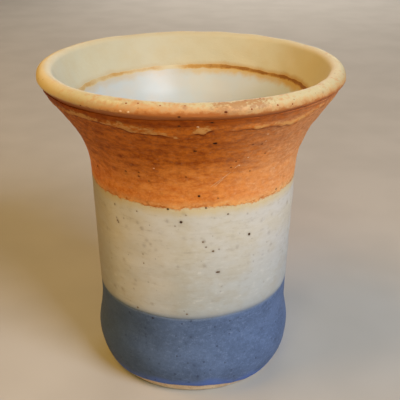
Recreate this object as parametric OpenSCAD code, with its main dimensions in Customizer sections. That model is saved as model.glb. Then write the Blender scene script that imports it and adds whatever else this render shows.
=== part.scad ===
// Wheel-thrown stoneware vase: a straight clay wall on a swelled foot, opening into a wide flare
// with a thick rolled lip, and coated in bands of glaze. All sizes are in millimetres.
// The half section is a path of arcs and their common tangents, given as [radius, height],
// and every solid is that path, or a stretch of it, turned about the upright axis.

/* [Vessel] */
// Overall height, from the table to the top of the lip
height = 109.5; // [100:0.5:130]
// Diameter over the lip
rim_d = 100; // [92:1:116]
// Wall thickness, coats included
wall_t = 3.3; // [2.8:0.1:5]
// Floor thickness over the foot ring, coat included
floor_t = 7; // [5:0.5:10]
// Radius of the curve from the floor into the inside wall
floor_round = 8; // [4:0.5:14]

/* [Foot and wall] */
// Diameter at the widest point of the foot
foot_d = 70.4; // [62:0.2:78]
// Height of the widest point of the foot
foot_h = 12.5; // [8:0.5:16]
// How far the foot draws in down to the table, on each side
foot_in = 3.8; // [2:0.1:5.5]
// Height of the waist, where the wall is narrowest
waist_z = 26; // [22:0.5:40]
// How far the wall draws in at the waist, on each side
waist_in = 1.5; // [0.4:0.1:2.2]
// Lean of the straight wall above the waist, outwards from upright, in degrees
wall_lean = 1.5; // [0.5:0.1:4]
// Width of the foot ring that stands on the table
ring_w = 7; // [4:0.5:12]
// Depth of the trimmed recess under the floor
recess_h = 1.6; // [0.8:0.1:3]
// How far the side of the recess slopes in
recess_slope = 1.2; // [0.4:0.1:3]

/* [Flare and lip] */
// Angle of the flare from upright, in degrees
flare_angle = 34.5; // [28:0.5:40]
// Radius of the curve from the wall into the flare
neck_round = 36; // [26:1:44]
// Thickness of the rolled lip
lip_t = 5.8; // [4.4:0.1:7]
// Height of the upright face under the lip's roll
lip_face = 0.4; // [0.2:0.1:2]
// Radius of the groove under the lip
groove_round = 2.2; // [1.6:0.1:3]
// Depth of the groove under the lip
groove_depth = 0.5; // [0.2:0.1:0.6]
// Distance down the flare from the lip's lower edge to the middle of the groove
groove_drop = 2.1; // [1.9:0.1:3.5]

/* [Glaze] */
// Thickness of the coats
glaze_t = 0.5; // [0.3:0.05:0.8]
// Height of the bare clay left at the foot
bare_h = 1.2; // [0.6:0.1:4]
// Height of the top edge of the foot's coat
foot_line_z = 32; // [20:0.2:45]
// Height of the top edge of the waist's coat
waist_line_z = 72.5; // [55:0.1:85]
// Depth of the iron line below the top of the lip
iron_drop = 11.6; // [8:0.2:18]
// Width of the iron line
iron_w = 1.2; // [0.6:0.1:3]

/* [Hidden] */
$fn = 180;
arc_steps = 18;

rim_r = rim_d / 2;
foot_r = foot_d / 2;
lip_r = lip_t / 2;

// Unit normal, pointing away from the axis, of a wall that leans outwards by an angle
function normal(lean) = [cos(lean), -sin(lean)];
// Point where two leaning lines cross, each given by its reach along its own normal and its lean
function crossing(reach_a, lean_a, reach_b, lean_b) =
    [reach_a * sin(lean_b) - reach_b * sin(lean_a), reach_a * cos(lean_b) - reach_b * cos(lean_a)]
    / sin(lean_b - lean_a);
// Points along an arc about a centre, between two angles
function arc(centre, radius, from, to) =
    [for (i = [0 : arc_steps])
        let (turn = from + (to - from) * i / arc_steps)
        centre + radius * [cos(turn), sin(turn)]];
// A list without its first item
function rest(list) = [for (i = [1 : len(list) - 1]) list[i]];
// A list from its last item to its first
function reversed(list) = [for (i = [len(list) - 1 : -1 : 0]) list[i]];

// Foot arc: upright at its widest point, and drawn in at the table
foot_round = (foot_in * foot_in + foot_h * foot_h) / (2 * foot_in);
foot_c = [foot_r - foot_round, foot_h];

// Waist arc: tangent to the foot arc below, and to the straight wall above
turn_in = 2 * atan(waist_in / (waist_z - foot_h));
waist_round = (waist_z - foot_h) / sin(turn_in) - foot_round;
waist_c = [foot_r - waist_in + waist_round, waist_z];
wall_reach = waist_c * normal(wall_lean) - waist_round;

// Lip: a round roll over an upright face, whose lower edge ends the flare
lip_c = [rim_r - lip_r, height - lip_r];
lip_edge = [rim_r, lip_c[1] - lip_face];
flare_reach = lip_edge * normal(flare_angle);

// Neck arc: tangent to the straight wall and to the flare
neck_c = crossing(wall_reach + neck_round, wall_lean, flare_reach + neck_round, flare_angle);

// Groove: a round cut across the flare, just under the lip
groove_c = lip_edge - groove_drop * [sin(flare_angle), cos(flare_angle)]
    + (groove_round - groove_depth) * normal(flare_angle);
groove_z = (groove_c - groove_round * normal(flare_angle))[1];

// Inside of the flare: the common tangent of the lip's roll and the neck's inner arc
throat_round = neck_round + wall_t;
lip_to_neck = neck_c - lip_c;
throat_lean = -atan2(lip_to_neck[1], lip_to_neck[0]) - acos((throat_round - lip_r) / norm(lip_to_neck));

// Curve from the inside wall into the floor
floor_c = crossing(wall_reach - wall_t - floor_round, wall_lean, -(floor_t + floor_round), 90);

iron_z = height - iron_drop;

// Outside of the section, from the table to the top of the lip, sunk by a depth below the finished skin
function outside(depth) =
    let (groove_half = acos((groove_round - groove_depth + depth) / (groove_round + depth)))
    concat(
        arc(foot_c, foot_round - depth, -asin(foot_h / (foot_round - depth)), turn_in),
        rest(arc(waist_c, waist_round + depth, 180 + turn_in, 180 - wall_lean)),
        arc(neck_c, neck_round + depth, 180 - wall_lean, 180 - flare_angle),
        arc(groove_c, groove_round + depth, 180 - flare_angle + groove_half, 180 - flare_angle - groove_half),
        [crossing(rim_r - depth, 0, flare_reach - depth, flare_angle)],
        arc(lip_c, lip_r - depth, 0, 90));

// Inside of the section, from the top of the lip to the middle of the floor, sunk by a depth
function inside(depth) =
    concat(
        arc(lip_c, lip_r - depth, 90, 180 - throat_lean),
        arc(neck_c, throat_round - depth, 180 - throat_lean, 180 - wall_lean),
        arc(floor_c, floor_round + depth, -wall_lean, -90),
        [[0, floor_t - depth]]);

clay_outside = outside(glaze_t);
clay_inside = inside(glaze_t);
recess_r = clay_outside[0][0] - ring_w;

// Half section of one coat: the skin between two heights, laid on the clay
module coat_section(skin, clay, low, high) {
    intersection() {
        polygon(concat(skin, reversed(clay)));
        translate([0, low]) square([rim_d, high - low]);
    }
}

module outside_coat(low, high) {
    coat_section(outside(0), clay_outside, low, high);
}

module inside_coat(low, high) {
    coat_section(inside(0), clay_inside, low, high);
}

// Thrown and trimmed clay: wall, floor, flare, lip core and foot ring in one piece
module clay_body() {
    color("tan")
        rotate_extrude()
            polygon(concat(
                clay_outside,
                rest(clay_inside),
                [[0, recess_h], [recess_r - recess_slope, recess_h], [recess_r, 0]]));
}

// Blue coat round the foot, stopping short of the table
module foot_glaze() {
    color("slategray") rotate_extrude() outside_coat(bare_h, foot_line_z);
}

// Grey-white coat round the waist
module waist_glaze() {
    color("lightgray") rotate_extrude() outside_coat(foot_line_z, waist_line_z);
}

// Orange coat on the upper wall and the underside of the flare
module collar_glaze() {
    color("peru") rotate_extrude() outside_coat(waist_line_z, groove_z);
}

// Cream coat over the lip and down the inside of the flare
module lip_glaze() {
    color("wheat")
        rotate_extrude() {
            outside_coat(groove_z, height);
            inside_coat(iron_z, height);
        }
}

// Thin rust line round the throat, between the cream coat and the liner
module iron_line() {
    color("saddlebrown") rotate_extrude() inside_coat(iron_z - iron_w, iron_z);
}

// Glossy pale coat over the inside wall and the floor
module liner_glaze() {
    color("aliceblue") rotate_extrude() inside_coat(0, iron_z - iron_w);
}

clay_body();
foot_glaze();
waist_glaze();
collar_glaze();
lip_glaze();
iron_line();
liner_glaze();
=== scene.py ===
import logging
import math
from dataclasses import dataclass
from enum import Enum
from typing import Optional, Protocol, Sequence, Union

import bpy
import numpy as np
from mathutils import Matrix, Vector


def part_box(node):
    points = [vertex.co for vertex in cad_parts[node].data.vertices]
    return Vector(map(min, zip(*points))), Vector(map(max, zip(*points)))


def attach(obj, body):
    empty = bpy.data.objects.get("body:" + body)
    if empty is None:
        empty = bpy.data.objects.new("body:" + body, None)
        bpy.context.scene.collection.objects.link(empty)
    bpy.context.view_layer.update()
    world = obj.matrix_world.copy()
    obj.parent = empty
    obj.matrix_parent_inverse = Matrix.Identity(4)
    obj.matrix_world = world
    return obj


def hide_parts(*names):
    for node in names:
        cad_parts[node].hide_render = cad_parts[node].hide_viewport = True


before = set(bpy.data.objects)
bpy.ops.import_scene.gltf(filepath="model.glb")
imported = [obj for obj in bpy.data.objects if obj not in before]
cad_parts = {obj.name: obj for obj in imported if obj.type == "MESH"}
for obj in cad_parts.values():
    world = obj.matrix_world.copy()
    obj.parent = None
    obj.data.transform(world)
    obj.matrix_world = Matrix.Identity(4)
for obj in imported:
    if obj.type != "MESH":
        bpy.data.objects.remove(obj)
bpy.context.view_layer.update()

LOG = logging.getLogger("vase")
MM = 0.001
BODY = "root"
# Wedges that a turned piece is spun from
WEDGES = 24
# Points along the skin's path, and along a line of sight
SAMPLES = 4000
# Longest step along an arc, in millimetres, and fewest steps
ARC_STEP = 0.2
ARC_LEAST = 8
# How far two points may lie apart and still be one, in millimetres
WELD = 0.002

Colour = tuple[float, float, float, float]
Array = np.ndarray


def paint(red: int, green: int, blue: int) -> Colour:
    """Turn a display colour into the linear colour that a shader takes.

    Args:
        red: Red, from 0 to 255.
        green: Green, from 0 to 255.
        blue: Blue, from 0 to 255.

    Returns:
        The linear colour with full alpha.
    """
    def linear(part: int) -> float:
        """One channel in linear light."""
        share = part / 255
        return share / 12.92 if share <= 0.04045 else ((share + 0.055) / 1.055) ** 2.4

    return (linear(red), linear(green), linear(blue), 1.0)


def ease(value: Array, low: Union[Array, float], high: Union[Array, float]) -> Array:
    """Smooth step from 0 at low to 1 at high.

    Args:
        value: Where the step is read.
        low: Where it leaves 0.
        high: Where it reaches 1.

    Returns:
        The step's height, from 0 to 1.
    """
    share = np.clip((np.asarray(value, float) - low) / (high - low), 0, 1)
    return share * share * (3 - 2 * share)


def swell(
    value: Array, low: float, rise: float, fall: Union[Array, float], high: Union[Array, float],
) -> Array:
    """Smooth swell from 0 up to 1 and back to 0.

    Args:
        value: Where the swell is read.
        low: Where it leaves 0.
        rise: Where it reaches 1.
        fall: Where it leaves 1.
        high: Where it is back at 0.

    Returns:
        The swell's height, from 0 to 1.
    """
    return ease(value, low, rise) * (1 - ease(value, fall, high))


def apart(theta: Array, middle: float) -> Array:
    """Signed angle from a middle, from minus half a turn to half a turn."""
    return np.mod(theta - middle + math.pi, math.tau) - math.pi


@dataclass(frozen=True)
class Section:
    """Half section of the vase in millimetres, as arcs joined by their common tangents."""

    height: float
    rim_d: float
    foot_d: float
    floor_t: float
    bare_h: float
    foot_line_z: float
    waist_line_z: float
    groove_z: float
    iron_z: float
    iron_w: float
    glaze_t: float = 0.5
    wall_t: float = 3.3
    floor_round: float = 8.0
    foot_h: float = 12.5
    foot_in: float = 3.8
    waist_z: float = 26.0
    waist_in: float = 1.5
    wall_lean: float = math.radians(1.5)
    ring_w: float = 7.0
    recess_h: float = 1.6
    recess_slope: float = 1.2
    flare_angle: float = math.radians(34.5)
    neck_round: float = 36.0
    lip_t: float = 5.8
    lip_face: float = 0.4
    groove_round: float = 2.2
    groove_depth: float = 0.5
    groove_drop: float = 2.1

    @classmethod
    def from_frame(cls) -> "Section":
        """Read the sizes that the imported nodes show.

        Returns:
            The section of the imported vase.
        """
        lip_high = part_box("lip_glaze")[1]
        foot_low, foot_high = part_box("foot_glaze")
        iron_low, iron_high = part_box("iron_line")
        return cls(
            height=lip_high.z / MM,
            rim_d=2 * lip_high.x / MM,
            foot_d=2 * foot_high.x / MM,
            floor_t=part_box("liner_glaze")[0].z / MM + cls.glaze_t,
            bare_h=foot_low.z / MM,
            foot_line_z=foot_high.z / MM,
            waist_line_z=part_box("waist_glaze")[1].z / MM,
            groove_z=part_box("collar_glaze")[1].z / MM,
            iron_z=iron_high.z / MM,
            iron_w=(iron_high.z - iron_low.z) / MM,
        )

    @staticmethod
    def normal(lean: float) -> Array:
        """Unit normal, away from the axis, of a wall that leans outwards."""
        return np.array([math.cos(lean), -math.sin(lean)])

    @staticmethod
    def crossing(reach_a: float, lean_a: float, reach_b: float, lean_b: float) -> Array:
        """Cross two leaning lines, each given by its reach along its own normal.

        Args:
            reach_a: Reach of the first line.
            lean_a: Lean of the first line.
            reach_b: Reach of the second line.
            lean_b: Lean of the second line.

        Returns:
            The point where they cross.
        """
        across = reach_a * math.sin(lean_b) - reach_b * math.sin(lean_a)
        up = reach_a * math.cos(lean_b) - reach_b * math.cos(lean_a)
        return np.array([across, up]) / math.sin(lean_b - lean_a)

    @staticmethod
    def arc(centre: Array, radius: float, start: float, end: float) -> list[Array]:
        """Points along an arc, close enough to pass for a curve.

        Args:
            centre: Centre of the arc.
            radius: Radius of the arc.
            start: Angle at its start.
            end: Angle at its end.

        Returns:
            The points from start to end.
        """
        steps = max(ARC_LEAST, math.ceil(radius * abs(end - start) / ARC_STEP))
        turns = np.linspace(start, end, steps + 1)
        return [centre + radius * np.array([math.cos(turn), math.sin(turn)]) for turn in turns]

    def outline(self) -> tuple[Array, int]:
        """Trace the finished skin from the table, over the lip, to the middle of the floor.

        Returns:
            The points of the skin, and the index of the top of the lip.
        """
        half = math.pi / 2
        rim_r, foot_r, lip_r = self.rim_d / 2, self.foot_d / 2, self.lip_t / 2
        foot_round = (self.foot_in ** 2 + self.foot_h ** 2) / (2 * self.foot_in)
        foot_c = np.array([foot_r - foot_round, self.foot_h])
        turn_in = 2 * math.atan(self.waist_in / (self.waist_z - self.foot_h))
        waist_round = (self.waist_z - self.foot_h) / math.sin(turn_in) - foot_round
        waist_c = np.array([foot_r - self.waist_in + waist_round, self.waist_z])
        wall_reach = waist_c @ self.normal(self.wall_lean) - waist_round
        lip_c = np.array([rim_r - lip_r, self.height - lip_r])
        lip_edge = np.array([rim_r, lip_c[1] - self.lip_face])
        flare_n = self.normal(self.flare_angle)
        flare_reach = lip_edge @ flare_n
        neck_c = self.crossing(
            wall_reach + self.neck_round, self.wall_lean, flare_reach + self.neck_round, self.flare_angle)
        along = np.array([math.sin(self.flare_angle), math.cos(self.flare_angle)])
        groove_c = lip_edge - self.groove_drop * along + (self.groove_round - self.groove_depth) * flare_n
        groove_half = math.acos(1 - self.groove_depth / self.groove_round)
        inner_round = self.neck_round + self.wall_t
        across, up = neck_c - lip_c
        throat_lean = -math.atan2(up, across) - math.acos((inner_round - lip_r) / math.hypot(across, up))
        floor_c = self.crossing(
            wall_reach - self.wall_t - self.floor_round, self.wall_lean,
            -(self.floor_t + self.floor_round), half)
        back = math.pi - self.flare_angle
        outside = self.arc(foot_c, foot_round, -math.asin(self.foot_h / foot_round), turn_in)
        outside += self.arc(waist_c, waist_round, math.pi + turn_in, math.pi - self.wall_lean)[1:]
        outside += self.arc(neck_c, self.neck_round, math.pi - self.wall_lean, back)
        outside += self.arc(groove_c, self.groove_round, back + groove_half, back - groove_half)
        outside += [lip_edge]
        outside += self.arc(lip_c, lip_r, 0, half)
        inside = self.arc(lip_c, lip_r, half, math.pi - throat_lean)[1:]
        inside += self.arc(neck_c, inner_round, math.pi - throat_lean, math.pi - self.wall_lean)
        inside += self.arc(floor_c, self.floor_round, -self.wall_lean, -half)
        inside += [np.array([0.0, self.floor_t])]
        return np.array(outside + inside), len(outside) - 1


class Skin:
    """The finished skin as a path that is read by the distance along it, in millimetres."""

    def __init__(self, section: Section) -> None:
        """Lay the path out evenly.

        Args:
            section: The vase's half section.
        """
        points, top = section.outline()
        steps = np.hypot(*np.diff(points, axis=0).T)
        run = np.concatenate([[0], np.cumsum(steps)])
        self.crest: float = float(run[top])
        self.length: float = float(run[-1])
        self.run = np.linspace(0, self.length, SAMPLES)
        self.r = np.interp(self.run, run, points[:, 0])
        self.z = np.interp(self.run, run, points[:, 1])
        slope_r = np.gradient(self.r, self.run)
        slope_z = np.gradient(self.z, self.run)
        size = np.hypot(slope_r, slope_z)
        self.out_r = slope_z / size
        self.out_z = -slope_r / size
        self._up = self.run <= self.crest

    def at(self, run: Array, depth: Union[Array, float] = 0.0) -> tuple[Array, Array]:
        """Find points on or under the skin.

        Args:
            run: Distance along the path.
            depth: How far under the skin.

        Returns:
            The radius and the height of each point.
        """
        radius = np.interp(run, self.run, self.r) - depth * np.interp(run, self.run, self.out_r)
        height = np.interp(run, self.run, self.z) - depth * np.interp(run, self.run, self.out_z)
        return np.maximum(radius, 0), height

    def outside(self, height: Union[Array, float]) -> Array:
        """Distance along the path of a height on the outside."""
        return np.interp(height, np.maximum.accumulate(self.z[self._up]), self.run[self._up])

    def inside(self, height: float) -> float:
        """Distance along the path of a height on the inside wall."""
        down = ~self._up
        return float(np.interp(height, self.z[down][::-1], self.run[down][::-1]))


class Wave:
    """A wavy line that closes round the vase: whole turns with seeded phases."""

    # Range of the heights that the waves have beside each other
    SHARES = (0.4, 1.0)

    def __init__(self, seed: int, amplitude: float, first: int, last: int) -> None:
        """Draw the phases.

        Args:
            seed: Seed of the draw.
            amplitude: Typical height of the wave, in millimetres.
            first: Fewest waves in a turn.
            last: Most waves in a turn.
        """
        draw = np.random.default_rng(seed)
        self.turns = np.arange(first, last + 1)
        self.phase = draw.uniform(0, math.tau, len(self.turns))
        share = draw.uniform(*self.SHARES, len(self.turns))
        self.size = amplitude * share * math.sqrt(2 / np.sum(share ** 2))

    def __call__(self, theta: Array) -> Array:
        """Read the wave.

        Args:
            theta: Angle of each place.

        Returns:
            The height of the wave at each place, in millimetres.
        """
        total = np.zeros_like(np.asarray(theta, float))
        for turns, phase, size in zip(self.turns, self.phase, self.size):
            total += size * np.cos(turns * theta + phase)
        return total


class Lumps:
    """Soft unevenness over the whole skin, which closes round the vase."""

    # Radius of the wall that the widths hold for, in millimetres
    WALL_R = 36

    def __init__(self, seed: int, amplitude: float, across: float, tall: float, count: int = 28) -> None:
        """Draw the swells.

        Args:
            seed: Seed of the draw.
            amplitude: Typical height, in millimetres.
            across: Typical width of a swell, in millimetres.
            tall: Typical height of a swell along the wall, in millimetres.
            count: Number of swells that are added up.
        """
        draw = np.random.default_rng(seed)
        most = math.tau * self.WALL_R / across
        self.turns = np.round(draw.uniform(-most, most, count))
        self.rise = draw.uniform(-1, 1, count) * math.tau / tall
        self.phase = draw.uniform(0, math.tau, count)
        self.size = amplitude * math.sqrt(2 / count)

    def __call__(self, theta: Array, run: Array) -> Array:
        """Read the unevenness.

        Args:
            theta: Angle of each place.
            run: Distance of each place along the skin.

        Returns:
            The height at each place, in millimetres.
        """
        total = np.zeros_like(theta)
        for turns, rise, phase in zip(self.turns, self.rise, self.phase):
            total += self.size * np.cos(turns * theta + rise * run + phase)
        return total


@dataclass(frozen=True)
class Hand:
    """What the potter's hand leaves: a foot off the mouth's axis and a wall slightly out of round."""

    foot_off: float = 0.82
    true_below: float = 81.0
    true_above: float = 107.0
    out_of_round: float = 0.0016
    long_side: float = 0.9

    def settle(self, radius: Array, height: Array, theta: Array) -> Array:
        """Place points of the turned form on the hand-made one.

        Args:
            radius: Radius, in millimetres.
            height: Height, in millimetres.
            theta: Angle about the axis.

        Returns:
            The points, in metres.
        """
        wall = 1 - ease(height, self.true_below, self.true_above)
        oval = radius * (1 + wall * self.out_of_round * np.cos(2 * (theta - self.long_side)))
        across = oval * np.cos(theta) + self.foot_off * wall
        return np.stack([across, oval * np.sin(theta), height], axis=-1) * MM


@dataclass(frozen=True)
class Viewfinder:
    """The photograph's camera, in millimetres, and what its 400 pixel frame sees."""

    frame_px: float = 400.0
    focal_px: float = 712.4
    axis_px: float = 192.6
    side: float = 0.56
    back: float = 230.0
    up: float = 164.8
    pitch: float = 0.43
    sensor: float = 36.0
    nearest: float = 10.0
    search_from: float = 160.0
    search_to: float = 270.0

    def place(self) -> None:
        """Set up the scene's camera."""
        data = bpy.data.cameras.new("camera")
        data.sensor_width = self.sensor
        data.lens = self.focal_px / self.frame_px * self.sensor
        data.shift_x = (self.frame_px / 2 - self.axis_px) / self.frame_px
        data.clip_start = self.nearest * MM
        camera = bpy.data.objects.new("camera", data)
        camera.location = (self.side * MM, -self.back * MM, self.up * MM)
        camera.rotation_euler = (math.pi / 2 - self.pitch, 0, 0)
        bpy.context.scene.collection.objects.link(camera)
        bpy.context.scene.camera = camera

    def hit(self, skin: Skin, hand: Hand, px: float, py: float) -> tuple[float, float]:
        """Find where a pixel falls on the outside of the vase.

        Args:
            skin: The finished skin.
            hand: The hand-made form.
            px: Pixel column.
            py: Pixel row.

        Returns:
            The angle about the axis, and the distance along the skin.
        """
        across = (px - self.axis_px) / self.focal_px
        rise = -(py - self.frame_px / 2) / self.focal_px
        ahead = math.cos(self.pitch) + rise * math.sin(self.pitch)
        climb = -math.sin(self.pitch) + rise * math.cos(self.pitch)
        reach = np.linspace(self.search_from, self.search_to, SAMPLES)
        x = self.side + reach * across
        y = -self.back + reach * ahead
        z = self.up + reach * climb
        x = x - hand.foot_off * (1 - ease(z, hand.true_below, hand.true_above))
        lip = skin.z.max()
        run = skin.outside(np.clip(z, 0, lip))
        gap = np.hypot(x, y) - skin.at(run)[0]
        inside = (gap <= 0) & (z <= lip) & (z >= 0)
        first = int(np.argmax(inside) if inside.any() else np.argmin(gap))
        return math.atan2(y[first], x[first]), float(run[first])


class Bench:
    """Modelling steps that the turned pieces share."""

    @staticmethod
    def clear() -> None:
        """Leave object mode with nothing selected."""
        if bpy.context.object and bpy.context.object.mode != "OBJECT":
            bpy.ops.object.mode_set(mode="OBJECT")
        bpy.ops.object.select_all(action="DESELECT")

    @classmethod
    def turn(
        cls, name: str, radius: Array, height: Array, around: int, closed: bool = True,
    ) -> bpy.types.Object:
        """Draw a half section by extruding a point, and spin it about the upright axis.

        Args:
            name: Name of the piece.
            radius: Radius of each point, in millimetres.
            height: Height of each point, in millimetres.
            around: Faces in a full turn, a multiple of the wedges.
            closed: Whether the section returns to its first point.

        Returns:
            The turned piece, with its faces pointing outwards.
        """
        cls.clear()
        path = np.stack([radius, np.zeros_like(radius), height], axis=-1) * MM
        if closed:
            path = np.concatenate([path, path[:1]])
        bpy.ops.mesh.primitive_plane_add(size=MM)
        piece = bpy.context.object
        piece.name = name
        piece.data.name = name
        bpy.ops.object.mode_set(mode="EDIT")
        bpy.ops.mesh.select_all(action="SELECT")
        bpy.ops.mesh.merge(type="CENTER")
        bpy.ops.transform.translate(value=path[0])
        for step in np.diff(path, axis=0):
            bpy.ops.mesh.extrude_region_move(TRANSFORM_OT_translate={"value": step})
        wedge = math.tau / WEDGES
        bpy.ops.mesh.select_all(action="SELECT")
        bpy.ops.mesh.spin(steps=around // WEDGES, angle=wedge, center=(0, 0, 0), axis=(0, 0, 1))
        bpy.ops.mesh.select_all(action="SELECT")
        bpy.ops.mesh.spin(
            steps=WEDGES - 1, angle=wedge * (WEDGES - 1), dupli=True, center=(0, 0, 0), axis=(0, 0, 1))
        bpy.ops.mesh.select_all(action="SELECT")
        bpy.ops.mesh.remove_doubles(threshold=WELD * MM)
        bpy.ops.mesh.normals_make_consistent(inside=False)
        bpy.ops.object.mode_set(mode="OBJECT")
        return piece

    @classmethod
    def join(
        cls, name: str, parts: Sequence[bpy.types.Object], lead: bpy.types.Object,
    ) -> bpy.types.Object:
        """Join parts into one piece, with its place in its mesh.

        Args:
            name: Name of the piece.
            parts: The parts.
            lead: The part that takes up the others.

        Returns:
            The joined piece.
        """
        cls.clear()
        for part in parts:
            part.select_set(True)
        bpy.context.view_layer.objects.active = lead
        bpy.ops.object.join()
        bpy.ops.object.transform_apply(location=True, rotation=True, scale=True)
        piece = bpy.context.object
        piece.name = name
        piece.data.name = name
        return piece

    @staticmethod
    def polar(piece: bpy.types.Object) -> tuple[Array, Array, Array]:
        """Read a piece's points about the upright axis.

        Args:
            piece: The piece.

        Returns:
            The angle of each point, and its radius and height in millimetres.
        """
        flat = np.empty(len(piece.data.vertices) * 3)
        piece.data.vertices.foreach_get("co", flat)
        across, along, height = flat.reshape(-1, 3).T / MM
        return np.arctan2(along, across), np.hypot(across, along), height

    @staticmethod
    def move(piece: bpy.types.Object, places: Array) -> None:
        """Move a piece's points, given in metres."""
        piece.data.vertices.foreach_set("co", places.astype(np.float32).ravel())
        piece.data.update()

    @staticmethod
    def note(piece: bpy.types.Object, name: str, values: Array) -> None:
        """Keep a value at every point of a piece, for its finish to read."""
        layer = piece.data.attributes.new(name, "FLOAT", "POINT")
        layer.data.foreach_set("value", np.asarray(values, np.float32))

    @classmethod
    def smooth(cls, piece: bpy.types.Object, degrees: float = 40.0) -> None:
        """Shade a piece smooth.

        Args:
            piece: The piece.
            degrees: Angle between two faces above which their edge stays sharp.
        """
        cls.clear()
        piece.select_set(True)
        bpy.context.view_layer.objects.active = piece
        bpy.ops.object.shade_smooth_by_angle(angle=math.radians(degrees))


class Value:
    """A shader value that takes part in Python arithmetic."""

    def __init__(self, graph: "Graph", socket: bpy.types.NodeSocket) -> None:
        """Wrap a socket.

        Args:
            graph: The node tree that the socket is in.
            socket: The output socket.
        """
        self.graph = graph
        self.socket = socket

    def __add__(self, other: "Number") -> "Value":
        """Sum."""
        return self.graph.math("ADD", self, other)

    def __radd__(self, other: "Number") -> "Value":
        """Sum, reflected."""
        return self.graph.math("ADD", other, self)

    def __sub__(self, other: "Number") -> "Value":
        """Difference."""
        return self.graph.math("SUBTRACT", self, other)

    def __rsub__(self, other: "Number") -> "Value":
        """Difference, reflected."""
        return self.graph.math("SUBTRACT", other, self)

    def __mul__(self, other: "Number") -> "Value":
        """Product."""
        return self.graph.math("MULTIPLY", self, other)

    def __rmul__(self, other: "Number") -> "Value":
        """Product, reflected."""
        return self.graph.math("MULTIPLY", other, self)

    def __gt__(self, other: "Number") -> "Value":
        """1 where the value is greater."""
        return self.graph.math("GREATER_THAN", self, other)

    def step(self, low: float, high: float) -> "Value":
        """Smooth step from 0 at low to 1 at high.

        Args:
            low: Where the step leaves 0.
            high: Where it reaches 1.

        Returns:
            The step.
        """
        ramp = self.graph.node(
            "ShaderNodeMapRange", {"interpolation_type": "SMOOTHSTEP"},
            {"Value": self, "From Min": min(low, high), "From Max": max(low, high)})
        rising = Value(self.graph, ramp.outputs["Result"])
        return rising if low < high else 1 - rising


Number = Union[Value, float, int]
Paint = Union[Colour, bpy.types.NodeSocket]


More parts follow.
